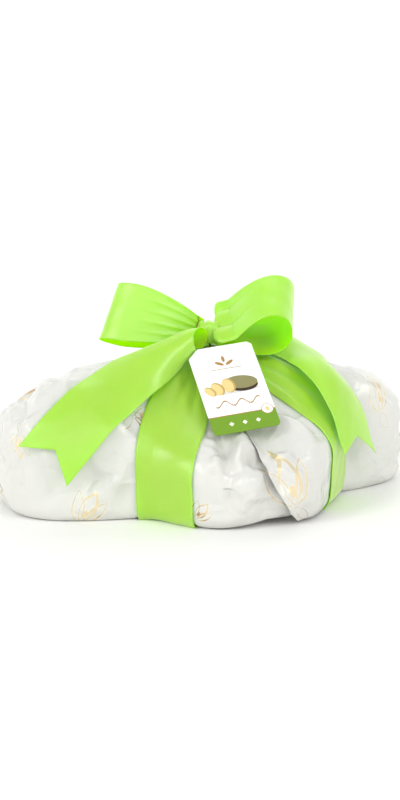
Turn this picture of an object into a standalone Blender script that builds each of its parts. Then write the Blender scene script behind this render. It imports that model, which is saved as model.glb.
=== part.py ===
"""
Gift-wrapped colomba Easter cake, at its real size.

A dove-shaped cake in its baking case is wrapped in pearl-white printed paper. One 40 mm satin ribbon crosses the
pack through the four notches between the head, the tail and the two wings, and is tied on top in a bow with two
loops and two swallow-tailed ends. A card tag hangs from the knot on a short string.

+X points to the tail, -Y to the front and +Z up. The origin is under the middle of the pack, on the table.
The sizes are in millimetres, and become metres where a mesh is made.
"""

import math
import random

import bpy
import numpy as np
from mathutils import Matrix, Vector

MM = 0.001

# The dove from above, one line for each lobe: direction in degrees, reach, half width and squareness of its
# outline, then the height of its shoulder, how hollow the slope up to the middle is, and how square the shoulder is
HEAD = (182.6, 145.8, 60.0, 3.2, 87.6, 1.07, 0.62)
TAIL = (7.2, 145.8, 48.5, 3.2, 88.4, 1.07, 0.66)
FRONT_WING = (-81.9, 105.5, 61.7, 2.8, 57.0, 2.4, 0.73)
BACK_WING = (90.0, 107.5, 61.7, 2.8, 57.0, 2.4, 0.73)
HEIGHT, SLOPE, SHOULDER = 4, 5, 6
LOBE_BLEND = 9.0
# The paper bridges the notches: direction in degrees of each bridge, and its distance from the middle
BRIDGES = ((-32.0, 93.9), (-138.0, 81.5), (50.0, 87.0), (137.0, 85.0))
BRIDGE_BLEND = 24.0
BRIDGE_CURVE = 0.3
CENTRE_HEIGHT = 99.3
SIDE_SHARE = 0.478
SHOULDER_LIFT = 0.8
# How far out, as a share of the way to the side, the top is rounded in the middle
PEAK_ROUND = 0.07
FOOT_RADIUS = 10.8
FOOT_IN = 1.7

# Paper folds that run out from the knot and down the sides
FOLDS = 22
FOLD_SEED = 5
FOLD_START = 26.0

# The bow is laid out in a frame turned to face a little left of the front: across, deep and up
BOW_TURN = -15.47

# Single creases, also measured in the bow's frame: both ends, half width, and height of the ridge, or depth of the
# valley if negative
CREASES = (
    ((30, -80, 49), (50, -93, 12), 9, 2.4),
    ((9, -72, 55), (15, -97, 42), 6, -2.2),
    ((-1, -76, 54), (5, -97, 44), 7, 2.2),
    ((24, -72, 53), (17, -96, 44), 7, 2.2),
    ((-6, -98, 38), (28, -84, 49), 7, 1.8),
    ((-118, -26, 77), (-117, -60, 69), 10, -3.2),
    ((-60, -79, 45), (-85, -82, 23), 10, -2.6),
    ((-133, -30, 66), (-124, -70, 55), 9, 2.0),
    ((-110, -27, 80), (-93, -50, 81), 9, 2.0),
    ((-50, -78, 36), (-56, -79, 26), 7, 1.8),
    ((98, -8, 10), (125, 12, 12), 9, -2.0),
    ((119, 6, 48), (114, 3, 14), 9, -2.0),
)

# Mesh of the paper
PAPER_SEGMENTS = 96
BOTTOM_RINGS = 2
FOOT_RINGS = 4
SIDE_RINGS = 6
TOP_RINGS = 17
TOP_SPACING = 1.35

# Satin ribbon
RIBBON_HALF = 20.0
RIBBON_THICK = 0.8
# Each band: its name, its direction in degrees, its height under the pack, how far it lies off the paper in the
# middle, and where it reaches its full width
BANDS = (
    ("ribbon_band_left", 237.5, 0.8, 0.0, 68.0),
    ("ribbon_band_right", 322.5, 1.8, 1.6, 90.0),
)
BAND_CLEAR = 1.2
BAND_KNOT_HALF = 8.0
BAND_NARROW_START = 16.0
BAND_PLEATS = 3
BAND_PLEAT_HEIGHT = 1.6
BEND_WEIGHT = 12.0
CHANNEL_HEIGHT = 2.8
CHANNEL_HALF = 21.0


def smooth(low, high, value):
    """0 below low, 1 above high, and a smooth rise between."""
    share = np.clip((value - low) / (high - low), 0, 1)
    return share * share * (3 - 2 * share)


def unit(vector):
    return np.asarray(vector, float) / np.linalg.norm(vector)


def outline(theta):
    """Distance from the middle to the foot of the pack's side, in the direction theta."""
    total = 0
    for direction, reach, half_width, square, *_ in (HEAD, TAIL, FRONT_WING, BACK_WING):
        along = np.cos(theta - math.radians(direction))
        across = np.abs(np.sin(theta - math.radians(direction)))
        radius = ((np.maximum(along, 1e-6) / reach) ** square + (across / half_width) ** square) ** (-1 / square)
        total = total + np.where(along > 0, radius, np.minimum(radius, half_width)) ** LOBE_BLEND
    radius = total ** (1 / LOBE_BLEND)
    for direction, distance in BRIDGES:
        along = np.cos(theta - math.radians(direction))
        bridge = smooth(0.7, 0.85, along) * distance / np.maximum(along, 0.5) ** BRIDGE_CURVE
        radius = (radius**BRIDGE_BLEND + bridge**BRIDGE_BLEND) ** (1 / BRIDGE_BLEND)
    return radius


def of_lobes(theta, value):
    """A value of the lobes, blended round the pack."""
    along = np.cos(theta)
    head = np.clip(-along, 0, 1) ** 2
    tail = np.clip(along, 0, 1) ** 2
    return HEAD[value] * head + TAIL[value] * tail + FRONT_WING[value] * (1 - head - tail)


def top_height(theta, share):
    """Height of the paper at a share, 0 to 1, of the way out from the middle."""
    shoulder = of_lobes(theta, HEIGHT)
    start = shoulder * SIDE_SHARE
    share = np.clip(share, 0, 1)
    rounded = (np.sqrt(share**2 + PEAK_ROUND**2) - PEAK_ROUND) / (math.sqrt(1 + PEAK_ROUND**2) - PEAK_ROUND)
    crown = shoulder + (CENTRE_HEIGHT - shoulder) * (1 - rounded) ** of_lobes(theta, SLOPE)
    rise = np.sin(np.arccos(share ** (1 / of_lobes(theta, SHOULDER))))
    return start + (crown - start) * rise**SHOULDER_LIFT


def side_point(theta, level):
    """Radius and height of the paper: level 0 to 1 is the foot, 1 to 2 the side, and 2 to 3 the top."""
    reach = outline(theta)
    foot = np.clip(level, 0, 1) * math.pi / 2
    side = np.clip(level - 1, 0, 1)
    start = of_lobes(theta, HEIGHT) * SIDE_SHARE
    share = np.cos(np.clip(level - 2, 0, 1) * math.pi / 2) ** of_lobes(theta, SHOULDER)
    radius = np.where(level < 1, reach - FOOT_IN - FOOT_RADIUS * (1 - np.sin(foot)), reach - FOOT_IN * (1 - side))
    height = np.where(level < 1, FOOT_RADIUS * (1 - np.cos(foot)), FOOT_RADIUS + (start - FOOT_RADIUS) * side)
    return np.where(level < 2, radius, reach * share), np.where(level < 2, height, top_height(theta, share))


def clear_of_bands(x, y):
    """0 where a ribbon band presses the paper flat, and 1 well away from it."""
    clear = 1
    for _, direction, *_ in BANDS:
        aside = np.abs(y * math.cos(math.radians(direction)) - x * math.sin(math.radians(direction)))
        clear = clear * smooth(RIBBON_HALF + 5, RIBBON_HALF + 14, aside)
    return clear


def in_bow(points):
    """Turns points from the bow's frame to the pack's."""
    turn = math.radians(BOW_TURN)
    x, y, z = np.asarray(points, float)
    return np.array([x * math.cos(turn) - y * math.sin(turn), x * math.sin(turn) + y * math.cos(turn), z])


def fold_relief(x, y, height):
    """Height of the paper's folds above its smooth form: tent-shaped ridges that fan out from the knot."""
    relief = 0
    draw = random.Random(FOLD_SEED)
    radius = np.hypot(x, y)
    for number in range(FOLDS):
        direction = math.tau * (number + draw.uniform(-0.3, 0.3)) / FOLDS
        half_width = draw.uniform(8, 15)
        rise = draw.choice((-0.8, 1)) * draw.uniform(1.8, 3.4)
        along = x * math.cos(direction) + y * math.sin(direction)
        aside = np.abs(y * math.cos(direction) - x * math.sin(direction))
        tent = np.clip(1 - aside / half_width, 0, 1) * (along > 0)
        relief = relief + rise * tent * smooth(FOLD_START, FOLD_START + 14, radius)
    points = np.stack([x, y, height], -1)
    for start, end, half_width, rise in CREASES:
        start, end = in_bow(start), in_bow(end)
        line = end - start
        share = np.clip((points - start) @ line / (line @ line), 0, 1)
        away = np.linalg.norm(points - start - share[:, None] * line, axis=1)
        relief = relief + rise * np.clip(1 - away / half_width, 0, 1)
    return relief * smooth(5, 22, height) * clear_of_bands(x, y)


def paper_points(theta, level):
    """Points on the folded paper, in millimetres."""
    radius, height = side_point(theta, level)
    step = 0.01
    above, below = side_point(theta, np.minimum(level + step, 3)), side_point(theta, level - step)
    rise, run = above[1] - below[1], above[0] - below[0]
    size = np.hypot(rise, run) + 1e-9
    relief = fold_relief(radius * np.cos(theta), radius * np.sin(theta), height)
    radius = radius + relief * rise / size
    height = height - relief * run / size
    return np.stack([radius * np.cos(theta), radius * np.sin(theta), height], -1)


def vertices_of(piece):
    points = np.empty(len(piece.data.vertices) * 3, np.float32)
    piece.data.vertices.foreach_get("co", points)
    return points.reshape(-1, 3).astype(float)


def place_vertices(piece, points):
    """Moves a primitive's vertices to points in millimetres."""
    piece.data.vertices.foreach_set("co", (np.asarray(points) * MM).astype(np.float32).ravel())
    piece.data.update()


def finish(piece, name, colour, roughness, parent=None, smooth_angle=40):
    """Names a piece, gives it its material, and files it with the others."""
    piece.name = name
    piece.data.name = name
    material = bpy.data.materials.new(name)
    material.use_nodes = True
    shader = material.node_tree.nodes["Principled BSDF"]
    shader.inputs["Base Color"].default_value = (*colour, 1)
    shader.inputs["Roughness"].default_value = roughness
    shader.inputs["Metallic"].default_value = 0
    piece.data.materials.append(material)
    if piece.type == "MESH":
        piece.data.shade_smooth()
        piece.data.set_sharp_from_angle(angle=math.radians(smooth_angle))
    for collection in list(piece.users_collection):
        collection.objects.unlink(piece)
    colomba.objects.link(piece)
    if parent:
        piece.parent = parent
    return piece


PAPER_WHITE = (0.86, 0.86, 0.83)
LIME = (0.34, 0.74, 0.03)
CARD_WHITE = (0.9, 0.9, 0.88)
STRING_BROWN = (0.12, 0.06, 0.03)


def make_wrapped_cake():
    """The cake in its case and paper, shut, so one solid: its underside is flat, with a channel for each band."""
    rings = BOTTOM_RINGS + FOOT_RINGS + SIDE_RINGS + TOP_RINGS
    bpy.ops.mesh.primitive_uv_sphere_add(segments=PAPER_SEGMENTS, ring_count=rings, radius=1)
    piece = bpy.context.object
    sphere = vertices_of(piece)
    theta = np.arctan2(sphere[:, 1], sphere[:, 0])
    ring = (np.arcsin(np.clip(sphere[:, 2], -1, 1)) / math.pi + 0.5) * rings
    flat_to_foot = BOTTOM_RINGS + FOOT_RINGS
    level = np.interp(ring, (BOTTOM_RINGS, flat_to_foot, flat_to_foot + SIDE_RINGS), (0, 1, 2))
    over = np.clip((ring - flat_to_foot - SIDE_RINGS) / TOP_RINGS, 0, 1)
    level = level + 1 - (1 - over) ** TOP_SPACING
    points = paper_points(theta, level)
    points[:, :2] *= np.clip(ring / BOTTOM_RINGS, 0, 1)[:, None]
    points[ring > rings - 0.5] = (0, 0, CENTRE_HEIGHT)
    place_vertices(piece, points)
    for name, direction, *_ in BANDS:
        channel = make_channel(name + "_channel", direction)
        cut = piece.modifiers.new(name, "BOOLEAN")
        cut.operation = "DIFFERENCE"
        cut.object = channel
    return finish(piece, "wrapped_cake", PAPER_WHITE, 0.35, smooth_angle=24)


def make_channel(name, direction):
    """The room that a band takes up under the pack, as a long low block."""
    bpy.ops.mesh.primitive_cube_add(size=1)
    block = bpy.context.object
    block.name = name
    length = 4 * HEAD[1]
    block.data.transform(Matrix.Diagonal((length * MM, 2 * CHANNEL_HALF * MM, 2 * CHANNEL_HEIGHT * MM, 1)))
    block.rotation_euler.z = math.radians(direction)
    block.hide_render = True
    block.display_type = "WIRE"
    for collection in list(block.users_collection):
        collection.objects.unlink(block)
    cutters.objects.link(block)
    return block


def ribbon(rows, columns, place):
    """A strip of ribbon: place gives its middle surface, from 0 to 1 along it and from -1 to 1 across it."""
    bpy.ops.mesh.primitive_grid_add(x_subdivisions=rows, y_subdivisions=columns, size=2)
    strip = bpy.context.object
    flat = vertices_of(strip)
    place_vertices(strip, place((flat[:, 0] + 1) / 2, flat[:, 1]))
    thickness = strip.modifiers.new("thickness", "SOLIDIFY")
    thickness.thickness = RIBBON_THICK * MM
    thickness.offset = 0
    return strip


def band_line(direction, aside, under, lift):
    """
    The run of a band beside its middle line, from the middle of the underside up to the middle of the top.
    Gives distance from the middle, height, and the direction off the paper as distance and height, at steps that
    are closer together where the line bends.
    """
    level = np.linspace(0.2, 2.9, 300)
    turn = 0
    for _ in range(30):
        radius, height = side_point(direction + turn, level)
        turn = (turn + np.arcsin(np.clip(aside / radius, -0.9, 0.9))) / 2
    distance = radius * np.cos(turn)
    outer = distance > 36
    inner = np.linspace(36, 0, 30)
    spot = np.arctan2(aside, inner)
    over = top_height(direction + spot, np.hypot(inner, aside) / outline(direction + spot))
    distance = np.concatenate([distance[outer], inner])
    height = np.concatenate([height[outer], over])
    rise, run = np.gradient(height), np.gradient(distance)
    size = np.hypot(rise, run)
    distance, height = distance + rise / size * BAND_CLEAR, height - run / size * BAND_CLEAR
    height = height + lift * (1 - smooth(14, 32, distance)) * (height > 50)
    above = height > under
    distance, height = distance[above], height[above]
    reach = distance[0]
    distance = np.concatenate([np.linspace(0, reach - 3, 20), distance])
    height = np.concatenate([np.full(20, under), height])
    step = np.hypot(np.diff(distance), np.diff(height))
    bend = np.abs(np.diff(np.unwrap(np.arctan2(np.diff(height), np.diff(distance))), prepend=0))
    length = np.concatenate([[0], np.cumsum(step * np.where(height[1:] > under, 1, 0.3) + BEND_WEIGHT * bend)])
    even = np.linspace(0, length[-1], 240)
    distance, height = np.interp(even, length, distance), np.interp(even, length, height)
    rise, run = np.gradient(height), np.gradient(distance)
    size = np.hypot(rise, run)
    return np.stack([distance, height, rise / size, -run / size])


def make_band(name, degrees, under, lift, full_width):
    """One turn of ribbon round the pack: down one notch, under, and up the opposite one, ending under the knot."""
    asides = np.linspace(-RIBBON_HALF, RIBBON_HALF, 9)
    sides = []
    for turn in (0, math.pi):
        sides.append(np.stack([band_line(math.radians(degrees) + turn, aside, under, lift) for aside in asides]))

    def read(side, aside, share):
        """The run at a distance beside the middle line and a share of the way up, between the lines worked out."""
        row = np.clip((aside + RIBBON_HALF) / (2 * RIBBON_HALF) * 8, 0, 7.9999)
        column = np.clip(share, 0, 1) * 238.9999
        low, left = row.astype(int), column.astype(int)
        up, along = (row - low)[:, None], (column - left)[:, None]
        table = sides[side].transpose(0, 2, 1)
        first = table[low, left] * (1 - along) + table[low, left + 1] * along
        second = table[low + 1, left] * (1 - along) + table[low + 1, left + 1] * along
        return first * (1 - up) + second * up

    def place(along, across):
        points = np.zeros((len(along), 3))
        for side, sign in ((0, 1), (1, -1)):
            here = (along < 0.5) if side == 0 else (along >= 0.5)
            share = np.abs(2 * along[here] - 1) * 0.994
            middle = read(side, np.zeros(here.sum()), share)
            narrow = (1 - smooth(BAND_NARROW_START, full_width, middle[:, 0])) * smooth(0.4, 0.6, share)
            half = RIBBON_HALF - (RIBBON_HALF - BAND_KNOT_HALF) * narrow
            aside = across[here] * half * sign
            line = read(side, aside, share)
            pleat = 0.5 - 0.5 * np.cos(2 * math.pi * BAND_PLEATS * (across[here] + 1) / 2)
            pleat = pleat * BAND_PLEAT_HEIGHT * 4 * narrow * (1 - narrow) * smooth(14, 24, middle[:, 0])
            distance, height = line[:, 0] + pleat * line[:, 2], line[:, 1] + pleat * line[:, 3]
            turn = math.radians(degrees) + (0 if side == 0 else math.pi)
            points[here, 0] = distance * math.cos(turn) - aside * math.sin(turn)
            points[here, 1] = distance * math.sin(turn) + aside * math.cos(turn)
            points[here, 2] = height
        return points

    strip = ribbon(64, 2 * BAND_PLEATS, place)
    return finish(strip, name, LIME, 0.35)


KNOT = (0.7, -4.0, 110.7)
KNOT_HALF = (5.7, 8.0, 9.0)


def make_knot(bow):
    """The knot: ribbon pulled tight round the waist of the bow, with folds that run over its front."""
    bpy.ops.mesh.primitive_uv_sphere_add(segments=24, ring_count=12, radius=1)
    piece = bpy.context.object
    ball = vertices_of(piece)
    power = 0.62
    rounded = np.sign(ball) * np.abs(ball) ** power
    rounded /= np.maximum(1, np.linalg.norm(rounded, axis=1) / 1.18)[:, None]
    waist = 1 - 0.14 * (1 - rounded[:, 0] ** 2) + 0.06 * np.cos(9 * rounded[:, 0])
    rounded[:, 1:] *= waist[:, None]
    place_vertices(piece, rounded * np.array(KNOT_HALF) + np.array(KNOT))
    return finish(piece, "bow_knot", LIME, 0.35, bow)


# Each loop: its name, where it starts, where its tip is, the way across the ribbon, and the rest of its shape
LOOPS = (
    (
        "bow_loop_left",
        (-6.6, -4, 112.3),
        (-65.1, -3.4, 124.9),
        (0.245, 0.346, 0.892),
        (-15.7, -13, 0.36, 0.62, -1.4, 0, 7.5),
    ),
    (
        "bow_loop_right",
        (8.3, -3, 114.4),
        (57.2, -6.8, 129.5),
        (-0.166, 0.916, 0.537),
        (14.6, 19, 0.09, 0.34, 5, 0.23, 10.5),
    ),
)
LOOP_ROWS = 32
LOOP_GAP = 3.4
LOOP_PLEATS = 3
LOOP_PLEAT_HEIGHT = 1.5


def pleats(across, count):
    """Rounded zigzag across a gathered ribbon, from -1 to 1."""
    return np.cos(math.pi * count * (across + 1))


def loop_place(start, tip, width_way, shape):
    """
    A bow loop: the ribbon leaves the knot, turns round at the tip and comes back. Front and back are how far its
    two strands stand off the line from the knot to the tip, past a neck that is a share of its reach. It has half
    the width gathered at the knot, and its full width from open_from along. A larger roundness brings the widest
    place nearer to the tip, and sweep leans the tip.
    """
    front, back, open_from, roundness, sweep, neck, gathered = shape
    start, tip = np.array(start, float), np.array(tip, float)
    reach = np.linalg.norm(tip - start)
    out, wide = unit(tip - start), unit(width_way)
    thick = unit(np.cross(out, wide))

    def place(along, across):
        turn = 2 * math.pi * along
        ahead = (1 - np.cos(turn)) / 2
        past_neck = np.clip((ahead - neck) / (1 - neck), 0, 1)
        swell = 2 * np.sqrt(past_neck * (1 - past_neck)) * past_neck ** (roundness / 2)
        side = np.where(along < 0.5, front, -back) * swell + LOOP_GAP * np.cos(turn / 2)
        from_knot = np.minimum(along, 1 - along)
        gather = 1 - smooth(-0.03, open_from, from_knot)
        half = RIBBON_HALF - (RIBBON_HALF - gathered) * gather
        ruffle = pleats(across, LOOP_PLEATS) * LOOP_PLEAT_HEIGHT * gather * smooth(0, 0.05, from_knot)
        return (
            start
            + out * (reach * ahead + sweep * across * ahead**2)[:, None]
            + thick * (side + ruffle)[:, None]
            + wide * (across * half)[:, None]
        )

    return place


def make_loops(bow):
    for name, *layout in LOOPS:
        finish(ribbon(LOOP_ROWS, 8, loop_place(*layout)), name, LIME, 0.35, bow)


def smooth_line(route, values, share):
    """Values given at the points of a route, read smoothly at a share 0 to 1 of the route's length."""
    values = np.array(values, float)
    values = values.reshape(len(values), -1)
    chords = np.linalg.norm(np.diff(np.array(route, float), axis=0), axis=1)
    knots = np.concatenate([[0], np.cumsum(chords)]) / chords.sum()
    slopes = np.gradient(values, knots, axis=0)
    place = np.clip(np.searchsorted(knots, share, side="right") - 1, 0, len(values) - 2)
    step = (knots[place + 1] - knots[place])[:, None]
    part = (share - knots[place])[:, None] / step
    return (
        (2 * part**3 - 3 * part**2 + 1) * values[place]
        + (part**3 - 2 * part**2 + part) * step * slopes[place]
        + (3 * part**2 - 2 * part**3) * values[place + 1]
        + (part**3 - part**2) * step * slopes[place + 1]
    )


# Route of each bow end from the knot down: its middle, the way across it, its half width and how far it is rolled
LEFT_TAIL = (
    ((1.7, -21.0, 110.6), (0.1, -1.0, -0.1), 20, 330),
    ((-10.0, -22.5, 109.2), (0.15, -1.0, -0.2), 20, 310),
    ((-26.0, -33.0, 103.2), (0.4, -0.75, -0.5), 20, 190),
    ((-45.5, -47.5, 92.4), (0.5, -0.65, -0.55), 20, 70),
    ((-59.8, -59.5, 82.0), (0.6, -0.6, -0.55), 20, 30),
    ((-73.9, -73.5, 72.0), (0.6, -0.5, -0.6), 20, 20),
    ((-88.0, -83.5, 57.1), (0.62, -0.33, -0.7), 20, 20),
    ((-102.9, -89.0, 39.6), (0.75, -0.2, -0.6), 20, 25),
)
RIGHT_TAIL = (
    ((11.3, 3.4, 106.4), (0.1, 1.0, 0.1), 7, 60),
    ((28.0, 12.0, 103.4), (0.12, 0.95, 0.3), 12, 40),
    ((49.0, 7.5, 103.8), (0.24, 0.81, 0.53), 16, 50),
    ((64.0, 5.8, 97.2), (0.41, 0.86, 0.3), 17, 50),
    ((74.3, -9.2, 91.2), (0.54, 0.84, 0.02), 17, 95),
    ((84.8, -19.0, 81.4), (0.57, 0.82, -0.03), 19, 70),
    ((94.9, -28.0, 61.9), (0.6, 0.8, -0.1), 20, 30),
    ((100.0, -30.5, 43.4), (0.6, 0.8, -0.2), 20, 20),
    ((105.5, -31.0, 27.0), (0.6, 0.8, -0.2), 20, 20),
)
TAIL_NOTCH = 13.0


def tail_place(route, mouth, slant):
    """
    A bow end that follows a route, rolled up round its length near the knot and flat further down, with a notch
    cut in its end. The roll's near side starts mouth millimetres after its far side, so it can be seen into, and the
    end is cut slantwise, so that one side is slant millimetres longer and the other as much shorter.
    """
    middles, wide_ways, halves, rolls = zip(*route)
    length = np.linalg.norm(np.diff(np.array(middles), axis=0), axis=1).sum()

    def place(along, across):
        half_roll = np.radians(smooth_line(middles, rolls, along)[:, 0]) / 2
        start = mouth / length * (0.5 + 0.5 * np.sin(across * half_roll)) * (1 - smooth(0, 0.25, along))
        end = (TAIL_NOTCH * (1 - np.abs(across)) + slant * (1 - across)) / length * smooth(0.5, 1, along)
        share = np.clip(along + start - end, 0, 1)
        middle = smooth_line(middles, middles, share)
        ahead = smooth_line(middles, middles, np.minimum(share + 0.004, 1))
        ahead -= smooth_line(middles, middles, np.maximum(share - 0.004, 0))
        ahead /= np.linalg.norm(ahead, axis=1)[:, None]
        wide = smooth_line(middles, wide_ways, share)
        wide -= ahead * (wide * ahead).sum(1)[:, None]
        wide /= np.linalg.norm(wide, axis=1)[:, None]
        face = np.cross(ahead, wide)
        half = smooth_line(middles, halves, share)[:, 0]
        half_roll = np.radians(smooth_line(middles, rolls, share)[:, 0]) / 2
        bend = half / half_roll
        sideways = bend * np.sin(across * half_roll)
        proud = bend * (np.cos(across * half_roll) - np.sin(half_roll) / half_roll)
        return middle + wide * sideways[:, None] + face * proud[:, None]

    return place


def make_tails(bow):
    finish(ribbon(26, 8, tail_place(LEFT_TAIL, 13, 0)), "bow_tail_left", LIME, 0.35, bow)
    finish(ribbon(26, 6, tail_place(RIGHT_TAIL, 0, 6.5)), "bow_tail_right", LIME, 0.35, bow)


# Card tag, leaning back on the front wing: its middle, the ways along its width and up its length, and its size
TAG_MIDDLE = (16.9, -50.0, 82.2)
TAG_WIDE = (0.968, 0.23, 0.121)
TAG_UP = (-0.251, 0.744, 0.62)
TAG_SIZE = (44.0, 72.0)
TAG_THICK = 0.8
TAG_CUT = 7.5
TAG_CORNER = 3.0
TAG_SMALL_CUT = 2.5


def make_tag(bow):
    """The tag: a card with its top corners cut off slantwise and its bottom corners rounded."""
    half_width, half_length = TAG_SIZE[0] / 2, TAG_SIZE[1] / 2
    corners = [
        (-half_width, half_length - TAG_CUT),
        (-half_width + TAG_CUT, half_length),
        (half_width - TAG_SMALL_CUT, half_length),
        (half_width, half_length - TAG_SMALL_CUT),
    ]
    for side in (1, -1):
        for step in range(5):
            angle = math.pi / 2 * (step / 4 if side > 0 else 1 - step / 4)
            x = side * (half_width - TAG_CORNER + TAG_CORNER * math.cos(angle))
            corners.append((x, -half_length + TAG_CORNER - TAG_CORNER * math.sin(angle)))
    outline_curve = bpy.data.curves.new("gift_tag", "CURVE")
    outline_curve.dimensions = "2D"
    outline_curve.fill_mode = "BOTH"
    outline_curve.extrude = TAG_THICK / 2 * MM
    spline = outline_curve.splines.new("POLY")
    spline.points.add(len(corners) - 1)
    for point, (x, y) in zip(spline.points, corners):
        point.co = (x * MM, y * MM, 0, 1)
    spline.use_cyclic_u = True
    piece = bpy.data.objects.new("gift_tag", outline_curve)
    colomba.objects.link(piece)
    wide = Vector(TAG_WIDE).normalized()
    up = Vector(TAG_UP)
    up = (up - wide * up.dot(wide)).normalized()
    piece.rotation_euler = Matrix((wide, up, wide.cross(up))).transposed().to_euler()
    piece.location = Vector(TAG_MIDDLE) * MM
    return finish(piece, "gift_tag", CARD_WHITE, 0.5, bow)


# String from under the front of the knot to the back of the tag
STRING_ROUTE = ((2.0, -10.6, 104.0), (2.8, -14.6, 103.0), (3.4, -20.6, 101.3), (3.4, -26.5, 100.0))
STRING_RADIUS = 0.7


def make_string(bow):
    curve = bpy.data.curves.new("tag_string", "CURVE")
    curve.dimensions = "3D"
    curve.bevel_depth = STRING_RADIUS * MM
    curve.bevel_resolution = 2
    curve.use_fill_caps = True
    spline = curve.splines.new("POLY")
    route = smooth_line(STRING_ROUTE, STRING_ROUTE, np.linspace(0, 1, 9))
    spline.points.add(len(route) - 1)
    for point, place in zip(spline.points, route):
        point.co = (*(place * MM), 1)
    piece = bpy.data.objects.new("tag_string", curve)
    colomba.objects.link(piece)
    return finish(piece, "tag_string", STRING_BROWN, 0.8, bow)


for leftover in list(bpy.data.objects):
    bpy.data.objects.remove(leftover)
colomba = bpy.data.collections.new("colomba")
cutters = bpy.data.collections.new("cutters")
bpy.context.scene.collection.children.link(colomba)
bpy.context.scene.collection.children.link(cutters)

make_wrapped_cake()
for band in BANDS:
    make_band(*band)
bow_frame = bpy.data.objects.new("bow_frame", None)
bow_frame.rotation_euler.z = math.radians(BOW_TURN)
colomba.objects.link(bow_frame)
make_knot(bow_frame)
make_loops(bow_frame)
make_tails(bow_frame)
make_tag(bow_frame)
make_string(bow_frame)
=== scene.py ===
"""
Looks of a gift-wrapped colomba Easter cake: a dove-shaped cake in pearl-white paper with a gold print,
tied with 40 mm lime satin ribbon in a bow, with a card tag on a string.

+X points to the tail of the dove, -Y to the front and +Z up. Forms are worked out in millimetres, and
become metres where a mesh is made.
"""

import math
import random

import bpy
import numpy as np
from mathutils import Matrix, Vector


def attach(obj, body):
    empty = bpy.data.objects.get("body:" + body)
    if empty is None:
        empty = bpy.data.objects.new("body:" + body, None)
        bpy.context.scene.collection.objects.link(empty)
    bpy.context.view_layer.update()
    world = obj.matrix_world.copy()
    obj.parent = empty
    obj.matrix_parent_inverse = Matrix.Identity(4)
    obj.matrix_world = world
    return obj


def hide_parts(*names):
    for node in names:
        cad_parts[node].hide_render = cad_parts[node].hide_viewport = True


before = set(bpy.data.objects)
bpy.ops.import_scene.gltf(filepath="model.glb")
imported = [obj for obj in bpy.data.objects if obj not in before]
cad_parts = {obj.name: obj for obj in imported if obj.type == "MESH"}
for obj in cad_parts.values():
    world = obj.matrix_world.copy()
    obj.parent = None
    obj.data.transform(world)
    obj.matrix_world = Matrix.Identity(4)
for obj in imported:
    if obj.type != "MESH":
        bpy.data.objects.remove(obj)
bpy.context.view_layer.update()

# The studio: a white sweep under a white surround, lit by soft lights far away on the left, on the right, in
# front and behind, and seen from the front, a little to the left and from slightly above. None of it belongs
# to the cake.
CAMERA_PLACE = (-0.2627, -0.9331, 0.2650)
CAMERA_TARGET = (-0.0064, -0.0072, 0.0653)
CAMERA_LENS = 65.34
CAMERA_SENSOR = 36.0
SURROUND = "#FFFFFF"
SURROUND_STRENGTH = 0.54
# Soft lights: compass direction, height and apparent width in degrees, and strength. Direction 0 is +Y.
SOFT_LIGHTS = {
    "left": (-112.0, 30.0, 20.0, 1.0),
    "right": (140.0, 28.0, 24.0, 1.9),
    "front": (-164.0, 34.0, 44.0, 0.75),
    "behind": (20.0, 50.0, 40.0, 0.6),
}
FLOOR_HALF = 5.0
FLOOR_FLAT = 2.0
FLOOR_RISE = 0.2
FLOOR_GRID = 60
SWEEP_WHITE = "#F8F8F6"


def linear(code):
    """Linear red, green, blue and alpha of an sRGB hex value."""
    parts = [int(code[i : i + 2], 16) / 255 for i in (1, 3, 5)]
    return [p / 12.92 if p <= 0.04045 else ((p + 0.055) / 1.055) ** 2.4 for p in parts] + [1.0]


def add(tree, kind, inputs=(), **settings):
    """Adds a node. Inputs, by number or name, are values or sockets to link; settings are its properties."""
    node = tree.nodes.new("ShaderNode" + kind)
    for name, value in settings.items():
        setattr(node, name, value)
    for key, value in inputs.items() if isinstance(inputs, dict) else enumerate(inputs):
        if isinstance(value, bpy.types.NodeSocket):
            tree.links.new(value, node.inputs[key])
        else:
            node.inputs[key].default_value = value
    return node


def new_material(name):
    """An empty material with its node tree."""
    material = bpy.data.materials.new(name)
    material.use_nodes = True
    material.node_tree.nodes.clear()
    return material, material.node_tree


def new_object(name, data):
    """An object with its data, in the scene."""
    item = bpy.data.objects.new(name, data)
    bpy.context.scene.collection.objects.link(item)
    return item


camera = new_object("camera", bpy.data.cameras.new("camera"))
camera.data.lens = CAMERA_LENS
camera.data.sensor_fit = "VERTICAL"
camera.data.sensor_height = CAMERA_SENSOR
camera.data.clip_start = 0.01
camera.location = CAMERA_PLACE
camera.rotation_euler = (Vector(CAMERA_TARGET) - Vector(CAMERA_PLACE)).to_track_quat("-Z", "Y").to_euler()
bpy.context.scene.camera = camera
bpy.context.scene.view_settings.view_transform = "Standard"

world = bpy.data.worlds.new("white_surround")
world.use_nodes = True
world.node_tree.nodes.clear()
surround = add(world.node_tree, "Background", (linear(SURROUND), SURROUND_STRENGTH))
add(world.node_tree, "OutputWorld", (surround.outputs[0],))
bpy.context.scene.world = world

for name, (direction, height, width, strength) in SOFT_LIGHTS.items():
    light = new_object(name, bpy.data.lights.new(name, "SUN"))
    light.data.energy = strength
    light.data.angle = math.radians(width)
    light.rotation_euler = (math.radians(90 - height), 0, math.radians(180 - direction))

bpy.ops.mesh.primitive_grid_add(x_subdivisions=FLOOR_GRID, y_subdivisions=FLOOR_GRID, size=2 * FLOOR_HALF)
floor = bpy.context.object
floor.name = "sweep"
for vertex in floor.data.vertices:
    vertex.co.z = FLOOR_RISE * max(0, vertex.co.xy.length - FLOOR_FLAT) ** 2
floor.data.shade_smooth()
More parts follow.
